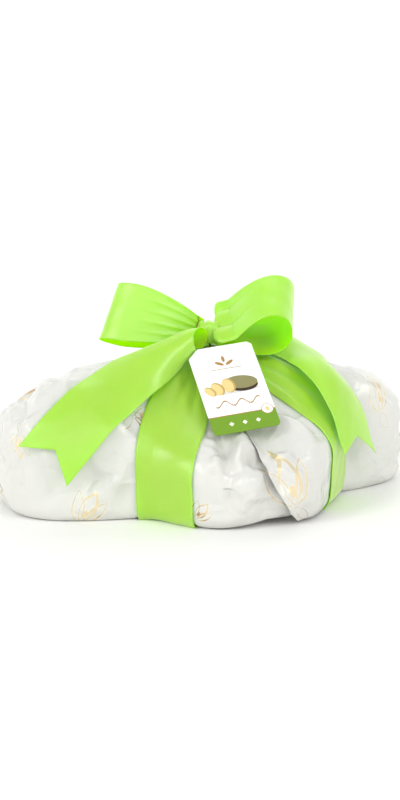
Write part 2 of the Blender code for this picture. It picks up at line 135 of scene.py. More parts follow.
# Matt background paper: an even white with no gloss
background_paper, tree = new_material("matt_background_paper")
shader = add(tree, "BsdfPrincipled", {"Base Color": linear(SWEEP_WHITE), "Roughness": 0.9})
add(tree, "OutputMaterial", (shader.outputs[0],))
floor.data.materials.append(background_paper)

# The wrapping: one sheet of pearl-coated gift paper, folded round the dove-shaped cake and its case. It
# bridges the notches, is creased where it was gathered and pressed flat under the ribbon, and has a gold
# tulip print.
MM = 0.001
# The dove from above, one line for each lobe: direction in degrees, reach, half width and squareness of its
# outline, then the height of its shoulder, how hollow the slope up to the middle is, and how square the
# shoulder is
HEAD = (182.6, 144.4, 60.0, 3.2, 87.6, 1.07, 0.62)
TAIL = (7.2, 145.8, 48.5, 3.2, 88.4, 1.07, 0.66)
FRONT_WING = (-81.9, 105.5, 61.7, 2.8, 57.0, 2.4, 0.73)
BACK_WING = (90.0, 107.5, 61.7, 2.8, 57.0, 2.4, 0.73)
HEIGHT, SLOPE, SHOULDER = 4, 5, 6
# How sharply the lobes meet
LOBE_BLEND = 9.0
# The paper bridges the notches: direction in degrees of each bridge, and its distance from the middle
BRIDGES = ((-32.0, 93.9), (-138.0, 81.5), (50.0, 87.0), (137.0, 85.0))
# How sharply a bridge meets the lobes, and its curve: 1 is straight, and 0 is round the pack's middle
BRIDGE_BLEND = 24.0
BRIDGE_CURVE = 0.3
CENTRE_HEIGHT = 99.3
# The share of the shoulder's height that the side takes up, the power that shapes the curve above it, and how
# round the peak is
SIDE_SHARE = 0.478
SHOULDER_LIFT = 0.8
PEAK_ROUND = 0.07
FOOT_RADIUS = 10.8
# How far the side leans in at the foot
FOOT_IN = 1.7
# The ribbon's width, and the direction in degrees of each band that presses the paper flat
RIBBON_HALF = 20.0
BAND_DIRECTIONS = (237.5, 322.5)
# The channel for each band under the pack: its height and half width
CHANNEL_HEIGHT = 2.8
CHANNEL_HALF = 21.0
# Folds that fan out from the knot: how many, how far from it they start, their half width, and how high they
# stand. A fold that goes in goes in by FOLD_SINK of its height.
FOLDS = 22
FOLD_SEED = 5
FOLD_START = 26.0
FOLD_HALF = (8, 15)
FOLD_RISE = (1.8, 3.4)
FOLD_SINK = -0.8
# The bow's frame faces a little left of the front: across, deep and up. The creases are given in it too.
BOW_TURN = -15.47
# Single creases: both ends, half width, and height or depth
CREASES = (
    ((30, -80, 49), (50, -93, 12), 9, 2.4),
    ((9, -72, 55), (15, -97, 42), 6, -2.2),
    ((-1, -76, 54), (5, -97, 44), 7, 2.2),
    ((24, -72, 53), (17, -96, 44), 7, 2.2),
    ((-6, -98, 38), (28, -84, 49), 7, 1.8),
    ((-118, -26, 77), (-117, -60, 69), 10, -3.2),
    ((-60, -79, 45), (-85, -82, 23), 15, -3.6),
    ((-133, -30, 66), (-124, -70, 55), 9, 2.0),
    ((-110, -27, 80), (-93, -50, 81), 9, 2.0),
    ((-50, -78, 36), (-56, -79, 26), 7, 1.8),
    ((98, -8, 10), (125, 12, 12), 9, -2.0),
    ((119, 6, 48), (114, 3, 14), 9, -2.0),
)
# The fine surface has its creases deeper and sharper than the plain form of the pack
CREASE_SHARP = 1.35
# Broad flat facets between long folds, where the sheet was creased and smoothed again: how many sets of
# folds, how far apart the folds of a set are, how steep their sides are, how far they stand off at most,
# how far a fold bends from straight and over what length, and how large the patches are that have them
FACET_SETS = 9
FACET_SEED = 23
FACET_PITCH = (26.0, 76.0)
FACET_SLOPE = (0.12, 0.24)
FACET_MOST = 2.6
FACET_SWAY, FACET_SWAY_LONG = 2.5, 24
FACET_PATCH = 22
# The panel of the front wing that goes in under the flap, measured in the bow's frame: from where it turns
# in, how far forward it lies, how fast it goes in and how far at most, and the fold above it
TUCK_START = -6.0
TUCK_FORWARD = -40
TUCK_CURVE = 0.0023
TUCK_MOST = 4.5
TUCK_FOLD = ((-4.0, 37.0), (23.0, 49.0))
# Small crumples all over, and puckers that run out from under the ribbon's edges
CRUMPLES = 110
CRUMPLE_SEED = 11
CRUMPLE_HALF = (3, 8)
CRUMPLE_RISE = (0.3, 1.2)
PUCKER_PITCH = 9.0
PUCKER_HEIGHT = 0.45
PAPER_SEGMENTS = 540
# Rings of faces on the underside, the foot, the side and the top, and the power that brings them closer
# together towards the peak
PAPER_RINGS = (4, 10, 46, 116)
TOP_SPACING = 1.3


def smooth(low, high, value):
    """0 below low, 1 above high, and a smooth rise between."""
    share = np.clip((value - low) / (high - low), 0, 1)
    return share * share * (3 - 2 * share)


def unit(vectors):
    """A vector, or each row of vectors, at length 1."""
    vectors = np.asarray(vectors, float)
    return vectors / np.linalg.norm(vectors, axis=-1, keepdims=True)


def outline(theta):
    """Distance from the middle to the foot of the pack's side, in the direction theta."""
    total = 0
    for direction, reach, half_width, square, *_ in (HEAD, TAIL, FRONT_WING, BACK_WING):
        along = np.cos(theta - math.radians(direction))
        across = np.abs(np.sin(theta - math.radians(direction)))
        power = (np.maximum(along, 1e-6) / reach) ** square + (across / half_width) ** square
        radius = power ** (-1 / square)
        total = total + np.where(along > 0, radius, np.minimum(radius, half_width)) ** LOBE_BLEND
    radius = total ** (1 / LOBE_BLEND)
    for direction, distance in BRIDGES:
        along = np.cos(theta - math.radians(direction))
        bridge = smooth(0.7, 0.85, along) * distance / np.maximum(along, 0.5) ** BRIDGE_CURVE
        radius = (radius**BRIDGE_BLEND + bridge**BRIDGE_BLEND) ** (1 / BRIDGE_BLEND)
    return radius


def of_lobes(theta, value):
    """A value of the lobes, blended round the pack."""
    along = np.cos(theta)
    head = np.clip(-along, 0, 1) ** 2
    tail = np.clip(along, 0, 1) ** 2
    return HEAD[value] * head + TAIL[value] * tail + FRONT_WING[value] * (1 - head - tail)


def top_height(theta, share):
    """Height of the paper at a share, 0 to 1, of the way out from the middle."""
    shoulder = of_lobes(theta, HEIGHT)
    start = shoulder * SIDE_SHARE
    share = np.clip(share, 0, 1)
    rounded = (np.sqrt(share**2 + PEAK_ROUND**2) - PEAK_ROUND) / (math.sqrt(1 + PEAK_ROUND**2) - PEAK_ROUND)
    crown = shoulder + (CENTRE_HEIGHT - shoulder) * (1 - rounded) ** of_lobes(theta, SLOPE)
    rise = np.sin(np.arccos(share ** (1 / of_lobes(theta, SHOULDER))))
    return start + (crown - start) * rise**SHOULDER_LIFT


def side_point(theta, level):
    """Radius and height of the paper: level 0 to 1 is the foot, 1 to 2 the side, and 2 to 3 the top."""
    reach = outline(theta)
    foot = np.clip(level, 0, 1) * math.pi / 2
    side = np.clip(level - 1, 0, 1)
    start = of_lobes(theta, HEIGHT) * SIDE_SHARE
    share = np.cos(np.clip(level - 2, 0, 1) * math.pi / 2) ** of_lobes(theta, SHOULDER)
    foot_reach = reach - FOOT_IN - FOOT_RADIUS * (1 - np.sin(foot))
    radius = np.where(level < 1, foot_reach, reach - FOOT_IN * (1 - side))
    height = np.where(level < 1, FOOT_RADIUS * (1 - np.cos(foot)), FOOT_RADIUS + (start - FOOT_RADIUS) * side)
    return np.where(level < 2, radius, reach * share), np.where(level < 2, height, top_height(theta, share))


def level_at(theta, height):
    """The level where the paper has a height, in one direction."""
    levels = np.linspace(0, 2.98, 600)
    return np.interp(height, side_point(theta, levels)[1], levels)


def form_points(theta, level, lift=0):
    """Points on the smooth form of the pack, or off it by lift, in millimetres."""
    radius, height = side_point(theta, level)
    step = 0.01
    above, below = side_point(theta, np.minimum(level + step, 3)), side_point(theta, level - step)
    rise, run = above[1] - below[1], above[0] - below[0]
    size = np.hypot(rise, run) + 1e-9
    radius = radius + lift * rise / size
    height = height - lift * run / size
    return np.stack([radius * np.cos(theta), radius * np.sin(theta), height], -1)


def in_bow(points):
    """Turns points from the bow's frame to the pack's."""
    turn = math.radians(BOW_TURN)
    x, y, z = np.moveaxis(np.asarray(points, float), -1, 0)
    return np.stack([x * math.cos(turn) - y * math.sin(turn), x * math.sin(turn) + y * math.cos(turn), z], -1)


def beside_bands(x, y):
    """For each band: distance from the middle of the pack along it, and distance from its middle line."""
    for direction in BAND_DIRECTIONS:
        cosine, sine = math.cos(math.radians(direction)), math.sin(math.radians(direction))
        yield x * cosine + y * sine, y * cosine - x * sine


def creases():
    """The single creases, and the small crumples at random places on the pack."""
    for start, end, half_width, rise in CREASES:
        yield in_bow(start), in_bow(end), half_width, rise * CREASE_SHARP
    draw = random.Random(CRUMPLE_SEED)
    for _ in range(CRUMPLES):
        theta, level = draw.uniform(0, math.tau), draw.uniform(1.1, 2.8)
        end = theta + draw.uniform(-0.2, 0.2), level + draw.uniform(-0.4, 0.4)
        ends = form_points(np.array([theta, end[0]]), np.array([level, end[1]]))
        half_width = draw.uniform(*CRUMPLE_HALF)
        yield ends[0], ends[1], half_width, draw.choice((-1, 1)) * draw.uniform(*CRUMPLE_RISE)


def facets(points):
    """Height of the broad facets: sets of straight folds, each only in patches of the sheet."""
    draw = random.Random(FACET_SEED)
    relief = 0
    for _ in range(FACET_SETS):
        way, patch_way, bend_way = (unit([draw.gauss(0, 1) for _ in range(3)]) for _ in range(3))
        pitch, slope = draw.uniform(*FACET_PITCH), draw.uniform(*FACET_SLOPE)
        run = points @ way + FACET_SWAY * np.sin(points @ bend_way / FACET_SWAY_LONG)
        fold = np.abs((run / pitch + draw.random()) % 1 - 0.5) - 0.25
        patch = smooth(-0.1, 0.2, np.sin(points @ patch_way / FACET_PATCH + draw.uniform(0, math.tau)))
        relief = relief + slope * pitch * fold * patch
    return np.clip(relief, -FACET_MOST, FACET_MOST)


def tuck(points):
    """How far the front wing's panel goes in on its way to under the flap."""
    turn = math.radians(BOW_TURN)
    across = points[:, 0] * math.cos(turn) + points[:, 1] * math.sin(turn)
    deep = points[:, 1] * math.cos(turn) - points[:, 0] * math.sin(turn)
    up = points[:, 2]
    start, end = np.array(TUCK_FOLD)
    fold_way = unit(end - start)
    below = (across - start[0]) * fold_way[1] - (up - start[1]) * fold_way[0]
    return TUCK_CURVE * np.maximum(across - TUCK_START, 0) ** 2 * smooth(0, 7, below) * (deep < TUCK_FORWARD)


def fold_relief(x, y, height):
    """Height of the paper's folds above its smooth form: tent-shaped ridges, facets, creases and puckers."""
    relief = 0
    draw = random.Random(FOLD_SEED)
    radius = np.hypot(x, y)
    for number in range(FOLDS):
        direction = math.tau * (number + draw.uniform(-0.3, 0.3)) / FOLDS
        half_width = draw.uniform(*FOLD_HALF)
        rise = draw.choice((FOLD_SINK, 1)) * draw.uniform(*FOLD_RISE)
        along = x * math.cos(direction) + y * math.sin(direction)
        aside = np.abs(y * math.cos(direction) - x * math.sin(direction))
        tent = np.clip(1 - aside / half_width, 0, 1) * (along > 0)
        relief = relief + rise * tent * smooth(FOLD_START, FOLD_START + 14, radius)
    points = np.stack([x, y, height], -1)
    relief = relief + facets(points)
    for start, end, half_width, rise in creases():
        line = np.subtract(end, start)
        share = np.clip((points - start) @ line / (line @ line), 0, 1)
        away = np.linalg.norm(points - start - share[:, None] * line, axis=1)
        relief = relief + rise * np.clip(1 - away / half_width, 0, 1)
    relief = relief * smooth(5, 22, height)
    puckers = 0
    for along, aside in beside_bands(x, y):
        edge = np.abs(aside) - RIBBON_HALF
        relief = relief * smooth(5, 14, edge)
        wave = np.sin(math.tau * along / PUCKER_PITCH + 2 * np.sin(along / 13 + np.sign(aside)))
        puckers = puckers + PUCKER_HEIGHT * wave * smooth(-1, 3, edge) * (1 - smooth(5, 20, edge))
    return relief + puckers * smooth(30, 60, radius) * smooth(8, 20, height)


def paper_points(theta, level, lift=0):
    """Points on the folded paper, or off it by lift, in millimetres."""
    flat = form_points(theta, level)
    return form_points(theta, level, fold_relief(*flat.T) + lift)


def vertices_of(piece):
    points = np.empty(len(piece.data.vertices) * 3, np.float32)
    piece.data.vertices.foreach_get("co", points)
    return points.reshape(-1, 3).astype(float)


def place_vertices(piece, points):
    """Moves a primitive's vertices to points in millimetres."""
    piece.data.vertices.foreach_set("co", (np.asarray(points) * MM).astype(np.float32).ravel())
    piece.data.update()


def set_map(piece, name, coordinates):
    """Gives a mesh a named map of flat coordinates, one for each corner of each face."""
    while piece.data.uv_layers:
        piece.data.uv_layers.remove(piece.data.uv_layers[0])
    layer = piece.data.uv_layers.new(name=name)
    layer.uv.foreach_set("vector", np.asarray(coordinates, np.float32).ravel())


def corner_vertices(piece):
    corners = np.empty(len(piece.data.loops), np.int32)
    piece.data.loops.foreach_get("vertex_index", corners)
    return corners


def finish(piece, name, material, slot, *nodes):
    """Names a piece, gives it its material, and rides it on the pack in place of its CAD nodes. Slot is not
    used.
    """
    piece.name = piece.data.name = name
    piece.data.materials.clear()
    piece.data.materials.append(material)
    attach(piece, "root")
    for node in nodes:
        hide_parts(node)


bpy.ops.mesh.primitive_uv_sphere_add(segments=PAPER_SEGMENTS, ring_count=sum(PAPER_RINGS), radius=1)
wrapping = bpy.context.object
sphere = vertices_of(wrapping)
theta = np.arctan2(sphere[:, 1], sphere[:, 0])
ring = (np.arcsin(np.clip(sphere[:, 2], -1, 1)) / math.pi + 0.5) * sum(PAPER_RINGS)
ring_ends = np.cumsum(PAPER_RINGS)
over = np.clip((ring - ring_ends[2]) / PAPER_RINGS[3], 0, 1)
level = np.interp(ring, ring_ends[:3], (0, 1, 2)) + 1 - (1 - over) ** TOP_SPACING
points = paper_points(theta, level, -np.minimum(tuck(form_points(theta, level)), TUCK_MOST))
points[:, :2] *= np.clip(ring / PAPER_RINGS[0], 0, 1)[:, None]
points[ring > sum(PAPER_RINGS) - 0.5] = (0, 0, CENTRE_HEIGHT)
for along, aside in beside_bands(points[:, 0], points[:, 1]):
    pressed = 1 - smooth(CHANNEL_HALF - 0.5, CHANNEL_HALF + 1.5, np.abs(aside))
    points[:, 2] = np.maximum(points[:, 2], CHANNEL_HEIGHT * pressed)
place_vertices(wrapping, points)
wrapping.data.shade_smooth()

# The print: large and small tulips strewn over the sheet, in matt gold ink. Each one: its direction in
# degrees, its height on the pack, its reach, and how far it leans in degrees
TULIPS = (
    (-76, 28, 21, -8),
    (-137, 66, 16, 60),
    (-163, 50, 10, 175),
    (-149, 8, 15, 30),
    (-37, 46, 14, -50),
    (-10, 66, 15, 20),
    (4, 22, 19, 140),
    (26, 80, 11, -80),
    (52, 40, 18, 10),
    (78, 20, 15, 200),
    (98, 50, 17, -35),
    (124, 75, 12, 80),
    (146, 30, 19, 160),
    (170, 72, 16, -20),
    (-176, 18, 15, 95),
    (-108, 12, 9, 40),
)


def tulips():
    """Each tulip's middle, the two directions of its print across and up, and its reach."""
    for direction, height, reach, lean in TULIPS:
        turn, lean = math.radians(direction), math.radians(lean)
        level = level_at(turn, height)
        turns, levels = np.array([turn, turn, turn + 0.02]), np.array([level, level + 0.02, level])
        middle, up, right = form_points(turns, levels)
        up, right = unit(up - middle), unit(right - middle)
        yield (
            middle,
            up * math.cos(lean) + right * math.sin(lean),
            right * math.cos(lean) - up * math.sin(lean),
            reach,
        )


middles, ups, rights, reaches = (np.array(values) for values in zip(*tulips()))
corners = corner_vertices(wrapping)
centres = np.empty(len(wrapping.data.polygons) * 3, np.float32)
wrapping.data.polygons.foreach_get("center", centres)
centres = centres.reshape(-1, 3) / MM
nearest = np.argmin([np.linalg.norm(centres - m, axis=1) / r for m, r in zip(middles, reaches)], axis=0)
sizes = np.empty(len(wrapping.data.polygons), np.int32)
wrapping.data.polygons.foreach_get("loop_total", sizes)
nearest = np.repeat(nearest, sizes)
offsets = points[corners] - middles[nearest]
print_place = np.stack([(offsets * rights[nearest]).sum(1), (offsets * ups[nearest]).sum(1)], -1)
set_map(wrapping, "print", print_place / reaches[nearest, None])

# Pearl-coated gift paper, calendered: smooth and a little glossy, so folds catch soft highlights, with a fine
# tooth of its fibres. The print is matt gold ink, warmer and a little metallic.
PAPER_WHITE = "#D9D9D4"
GOLD_INK, DARK_GOLD = "#EBDAB4", "#B48D52"
# How metallic the ink looks
GILT = 0.35
# A tulip whose reach is 1: middle and half size of its heart, then middle, half size and lean of its pointed
# petals and leaves
HEART = ((0.0, -0.16), (0.12, 0.19))
PETALS = (
    ((0.0, 0.12), (0.34, 0.72), 0.0),
    ((-0.4, -0.02), (0.25, 0.66), -0.42),
    ((0.4, -0.02), (0.25, 0.66), 0.42),
    ((0.3, -1.0), (0.13, 0.42), -0.75),
)
# Half the pen's stroke as a share of a petal, how much it swells and thins, and how fast across and up
PEN, PEN_SWELL = 0.125, 0.08
PEN_SWING = (4.1, 2.6, 0)
# Real fibres are a tenth of a millimetre: drawn as 1.2 mm so that they show
FIBRE = 1.2
FIBRE_DEEP = 0.1
# How far apart the places are where the ink is thick and dark, and the noise values from thin to thick
INK_POOL = 16.0
INK_THIN, INK_THICK = 0.5, 0.66
# Crisp little facets left by the hands that folded it: how wide and deep they are, how far their edges bend
# and over what length, and how their grid is turned. Then how far apart the crumpled and the smooth places
# of the sheet are, and the noise values from smooth to crumpled.
FACET_WIDE = 21.0
FACET_DEEP = 3.8
FACET_BEND, FACET_BEND_LONG = 8.0, 30.0
FACET_TURN = (0.6, 0.8, 0.3)
CRUMPLED_PLACES = 48.0
SMOOTH_PLACE, CRUMPLED_PLACE = 0.38, 0.54


def in_mark(tree, place, middle, half_size, turn):
    """A place seen from the middle of a printed mark and turned with it, in units of the mark's half size."""
    shifted = add(tree, "VectorMath", (place, (*middle, 0)), operation="SUBTRACT").outputs[0]
    turned = add(tree, "VectorRotate", {"Vector": shifted, "Angle": turn}, rotation_type="Z_AXIS").outputs[0]
    scale = (1 / half_size[0], 1 / half_size[1], 0)
    return add(tree, "VectorMath", (turned, scale), operation="MULTIPLY").outputs[0]


def ellipse(tree, place, middle, half_size, turn):
    """1 inside an ellipse and 0 outside it."""
    scaled = in_mark(tree, place, middle, half_size, turn)
    away = add(tree, "VectorMath", (scaled,), operation="LENGTH").outputs["Value"]
    return add(tree, "Math", (away, 1), operation="LESS_THAN").outputs[0]


pearl_paper, tree = new_material("pearl_coated_paper")
print_at = add(tree, "UVMap", uv_map="print").outputs[0]
swing = add(tree, "VectorMath", (print_at, PEN_SWING), operation="DOT_PRODUCT").outputs["Value"]
swing = add(tree, "Math", (swing,), operation="SINE").outputs[0]
pen = add(tree, "Math", (swing, PEN_SWELL, PEN), operation="MULTIPLY_ADD").outputs[0]
ink = ellipse(tree, print_at, *HEART, 0)
for petal in PETALS:
    petal_x, petal_y, _ = add(tree, "SeparateXYZ", (in_mark(tree, print_at, *petal),)).outputs
    petal_x = add(tree, "Math", (petal_x,), operation="ABSOLUTE").outputs[0]
    edge = add(tree, "Math", (petal_y, petal_y, petal_x), operation="MULTIPLY_ADD").outputs[0]
    edge = add(tree, "Math", (edge, 1, pen), operation="COMPARE").outputs[0]
    ink = add(tree, "Math", (ink, edge), operation="MAXIMUM").outputs[0]
place = add(tree, "TexCoord").outputs["Object"]
pools = add(tree, "TexNoise", {"Vector": place, "Scale": 1 / (INK_POOL * MM), "Detail": 1.0}).outputs[0]
pools = add(tree, "MapRange", {"Value": pools, "From Min": INK_THIN, "From Max": INK_THICK}).outputs[0]
gold = add(tree, "Mix", {0: pools, "A": linear(GOLD_INK), "B": linear(DARK_GOLD)}, data_type="RGBA")
colours = {0: ink, "A": linear(PAPER_WHITE), "B": gold.outputs["Result"]}
colour = add(tree, "Mix", colours, data_type="RGBA").outputs["Result"]
fibres = add(tree, "TexNoise", {"Vector": place, "Scale": 1 / (FIBRE * MM), "Detail": 2.0}).outputs[0]
bent = add(tree, "TexNoise", {"Vector": place, "Scale": 1 / (FACET_BEND_LONG * MM), "Detail": 1.0})
bend = [FACET_BEND * MM] * 3
bent = add(tree, "VectorMath", (bent.outputs["Color"], bend, place), operation="MULTIPLY_ADD").outputs[0]
bent = add(tree, "VectorRotate", {"Vector": bent, "Rotation": FACET_TURN}, rotation_type="EULER_XYZ")
grid = {"Vector": bent.outputs[0], "Scale": 1 / (FACET_WIDE * MM)}
folded = add(tree, "TexVoronoi", grid, distance="CHEBYCHEV")
crumpled = add(tree, "TexNoise", {"Vector": place, "Scale": 1 / (CRUMPLED_PLACES * MM), "Detail": 1.0})
places = {"Value": crumpled.outputs[0], "From Min": SMOOTH_PLACE, "From Max": CRUMPLED_PLACE}
crumpled = add(tree, "MapRange", places).outputs[0]
folded = add(tree, "Math", (folded.outputs[0], crumpled), operation="MULTIPLY").outputs[0]
folded = add(tree, "Bump", {"Height": folded, "Strength": 1.0, "Distance": FACET_DEEP * MM}).outputs[0]
relief = {"Height": fibres, "Strength": 0.12, "Distance": FIBRE_DEEP * MM, "Normal": folded}
tooth = add(tree, "Bump", relief)
gilt = add(tree, "Math", (ink, GILT), operation="MULTIPLY").outputs[0]
shader = add(
    tree,
    "BsdfPrincipled",
    {
        "Base Color": colour,
        "Metallic": gilt,
        "Roughness": 0.27,
        "IOR": 1.5,
        "Normal": tooth.outputs[0],
    },
)
add(tree, "OutputMaterial", (shader.outputs[0],))
finish(wrapping, "wrapping_paper", pearl_paper, "wrapping_paper", "wrapped_cake")

# The flap: the free edge of the same sheet, folded over the front wing from the right. Its cut edge stands a
# little off the paper below, and its other side is held down by the ribbon.

# The cut edge from top to bottom, as direction in degrees and height, and how far it stands off the paper
FLAP_EDGE = (
    (-86.0, 84.0, 0.6),
    (-85.5, 66.0, 0.6),
    (-84.3, 48.4, 0.8),
    (-84.2, 35.9, 0.9),
    (-79.9, 21.7, 0.8),
    (-75.5, 9.5, 0.6),
    (-71.0, 3.0, 0.5),
)
# The direction in degrees where the ribbon holds it, how far off the paper it lies there, how suddenly it
# lifts towards its cut edge, and its thickness
FLAP_HELD = -45.0
FLAP_HELD_LIFT = 0.3
FLAP_CURL = 6
FLAP_THICK = 0.3
FLAP_GRID = (70, 60)


def thicken(piece, thick):
    """Gives a sheet its thickness in millimetres, half of it on either side."""
    thickness = piece.modifiers.new("thickness", "SOLIDIFY")
    thickness.thickness = thick * MM
    thickness.offset = 0
    return thickness


bpy.ops.mesh.primitive_grid_add(x_subdivisions=FLAP_GRID[0], y_subdivisions=FLAP_GRID[1], size=2)
flap = bpy.context.object
flat = (vertices_of(flap)[:, :2] + 1) / 2
edge_turn, edge_height, edge_lift = np.array(FLAP_EDGE).T
stations = np.linspace(0, 1, len(FLAP_EDGE))
turn_down = np.interp(flat[:, 1], stations, np.radians(edge_turn))
height_down = np.interp(flat[:, 1], stations, edge_height)
lift_down = np.interp(flat[:, 1], stations, edge_lift)
theta = turn_down + (math.radians(FLAP_HELD) - turn_down) * flat[:, 0]
level = np.array([level_at(t, h) for t, h in zip(theta, height_down)])
lift = FLAP_HELD_LIFT + (lift_down - FLAP_HELD_LIFT) * (1 - flat[:, 0]) ** FLAP_CURL
flap_points = paper_points(theta, level, lift)
place_vertices(flap, flap_points)
flap.data.shade_smooth()
large = np.argmin(np.linalg.norm(middles - flap_points.mean(0), axis=1))
offsets = flap_points[corner_vertices(flap)] - middles[large]
set_map(flap, "print", np.stack([offsets @ rights[large], offsets @ ups[large]], -1) / reaches[large])
thicken(flap, FLAP_THICK)
finish(flap, "paper_flap", pearl_paper, "wrapping_paper")

# The bands: one length of 40 mm double-faced satin ribbon, woven polyester, laid twice round the pack. Each
# turn runs down a notch, under the pack and up the opposite notch, and its ends are gathered under the
# knot.
RIBBON_THICK = 0.4
# Each band: its direction in degrees, its height under the pack, how far it lies off the paper in the middle,
# where it reaches its full width, and how far its two sides reach from its middle line at the knot
BANDS = {
    "ribbon_band_left": (BAND_DIRECTIONS[0], 0.8, 0.0, 68.0, (8.0, 8.0)),
    "ribbon_band_right": (BAND_DIRECTIONS[1], 1.8, 1.6, 90.0, (8.0, 15.0)),
}
BAND_CLEAR = 1.2
BAND_NARROW_START = 16.0
BAND_PLEATS = 3
BAND_PLEAT_HEIGHT = 1.6
BAND_GRID = (320, 24)
# The band's rows of faces lie closer together where it bends, and further apart under the pack
BEND_WEIGHT = 12.0
UNDER_WEIGHT = 0.3
# How many steps and lines its run is worked out at, and how far from the middle it is read off the top of
# the pack
BAND_STEPS, BAND_LINES = 240, 9
CROWN = 36
# Satin woven of bright polyester: long floating threads, so a soft silky gloss that is paler on top, and
# colour that deepens where light comes through the cloth; the back's brighter, more saturated green is
# painted glow of that light. Threads of 0.15 mm are drawn as 0.6 mm so that they show, each floating for
# 20 mm, and the weave is 0.12 mm deep.
LIME = "#A3D92B"
# The back's colour is painted glow: brighter and more saturated than the face, for light that comes through
# the cloth and bounces inside the loops.
BACK_LIME_PAINTED_GLOW = "#94F604"
THREAD = 0.6
THREAD_FLOAT = 20.0
WEAVE_DEEP = 0.12
SELVEDGE = 0.9


def satin(name, code, looks):
    """Woven satin: a colour, fine threads along the ribbon, and a firmer selvedge at each edge."""
    material, tree = new_material(name)
    weave_at = add(tree, "UVMap", uv_map="weave").outputs[0]
    _, across, _ = add(tree, "SeparateXYZ", (weave_at,)).outputs
    thread_scale = (1 / THREAD_FLOAT, 1 / THREAD, 0)
    threads = add(tree, "VectorMath", (weave_at, thread_scale), operation="MULTIPLY").outputs[0]
    threads = add(tree, "TexNoise", {"Vector": threads, "Scale": 1.0, "Detail": 2.0}).outputs[0]
    from_middle = add(tree, "Math", (across,), operation="ABSOLUTE").outputs[0]
    selvedge = add(tree, "Math", (from_middle, RIBBON_HALF - SELVEDGE), operation="GREATER_THAN").outputs[0]
    height = add(tree, "Math", (selvedge, 0.6, threads), operation="MULTIPLY_ADD").outputs[0]
    silk = add(tree, "Bump", {"Height": height, "Strength": 0.15, "Distance": WEAVE_DEEP * MM})
    grain = add(tree, "Tangent", direction_type="UV_MAP", uv_map="weave")
    inputs = {"Base Color": linear(code), "IOR": 1.55, "Normal": silk.outputs[0], "Tangent": grain.outputs[0]}
    shader = add(tree, "BsdfPrincipled", {**inputs, **looks})
    add(tree, "OutputMaterial", (shader.outputs[0],))
    return material


# The face of the ribbon, where the long threads float: silky, with a pale sheen
FACE_LOOKS = {
    "Roughness": 0.4,
    "Specular IOR Level": 0.8,
    "Anisotropic": 0.3,
    "Sheen Weight": 0.7,
    "Sheen Roughness": 0.45,
    "Sheen Tint": linear("#F2FFD4"),
    "Subsurface Weight": 0.8,
    "Subsurface Radius": (0.6, 1.2, 0.15),
    "Subsurface Scale": 1.2 * MM,
}
# Its back, where they are bound in: duller, and painted a brighter, more saturated green that stands in for
# light coming through the cloth and bouncing inside the loops
BACK_LOOKS = {
    "Roughness": 0.6,
    "Specular IOR Level": 0.25,
    "Subsurface Weight": 1.0,
    "Subsurface Radius": (1.0, 3.0, 0.1),
    "Subsurface Scale": 2.5 * MM,
}
lime_satin = satin("lime_polyester_satin", LIME, FACE_LOOKS)
satin_back = satin("lime_satin_back", BACK_LIME_PAINTED_GLOW, BACK_LOOKS)
# Soft buckles of the cloth: how many waves make them up, how far they stand off, and how long they are along
# and across it
BUCKLE_WAVES = 5
BUCKLE_HEIGHT = 0.5
BUCKLE_LONG, BUCKLE_WIDE = 38.0, 17.0
BUCKLE_SEED = 8


def buckles(along, across):
    """Height of the soft buckles of a ribbon, from 0 up."""
    draw = random.Random(BUCKLE_SEED)
    relief = 0
    for _ in range(BUCKLE_WAVES):
        long, wide = BUCKLE_LONG * draw.uniform(0.7, 1.6), BUCKLE_WIDE * draw.uniform(0.8, 1.8)
        lean = draw.uniform(-1, 1)
        relief = relief + np.sin(math.tau * (along / long + across / wide * lean) + draw.uniform(0, math.tau))
    return BUCKLE_HEIGHT * (relief / BUCKLE_WAVES + 0.5)


def step_lengths(line):
    """Lengths of the steps of a line of points."""
    return np.linalg.norm(np.diff(np.array(line, float), axis=0), axis=1)


def ribbon(name, grid, place, outer=1):
    """
    A strip of ribbon that replaces the CAD node of its name. Place gives its middle surface in millimetres,
    from 0 to 1 along it and from -1 to 1 across it. Its shiny face is on the side of its normals, or on the
    other if outer is -1.
    """
    bpy.ops.mesh.primitive_grid_add(x_subdivisions=grid[0], y_subdivisions=grid[1], size=2)
    strip = bpy.context.object
    flat = vertices_of(strip)
    along, across = (flat[:, 0] + 1) / 2, flat[:, 1]
    middle = place(np.linspace(0, 1, 200), np.zeros(200))
    length = step_lengths(middle).sum()
    flat_points = place(along, across)
    place_vertices(strip, flat_points)
    normals = np.empty(len(flat_points) * 3, np.float32)
    strip.data.vertex_normals.foreach_get("vector", normals)
    rise = outer * buckles(along * length, across * RIBBON_HALF)
    place_vertices(strip, flat_points + normals.reshape(-1, 3) * rise[:, None])
    corners = corner_vertices(strip)
    set_map(strip, "weave", np.stack([along * length, across * RIBBON_HALF], -1)[corners])
    strip.data.shade_smooth()
    thickness = thicken(strip, RIBBON_THICK)
    thickness.material_offset = 1
    thickness.material_offset_rim = 0
    front, back = (lime_satin, satin_back) if outer > 0 else (satin_back, lime_satin)
    finish(strip, "satin_" + name, front, "satin_ribbon", name)
    strip.data.materials.append(back)
    return strip


def off_line(distance, height):
    """The direction off a line, at right angles to it, as distance and height."""
    rise, run = np.gradient(height), np.gradient(distance)
    size = np.hypot(rise, run)
    return rise / size, -run / size


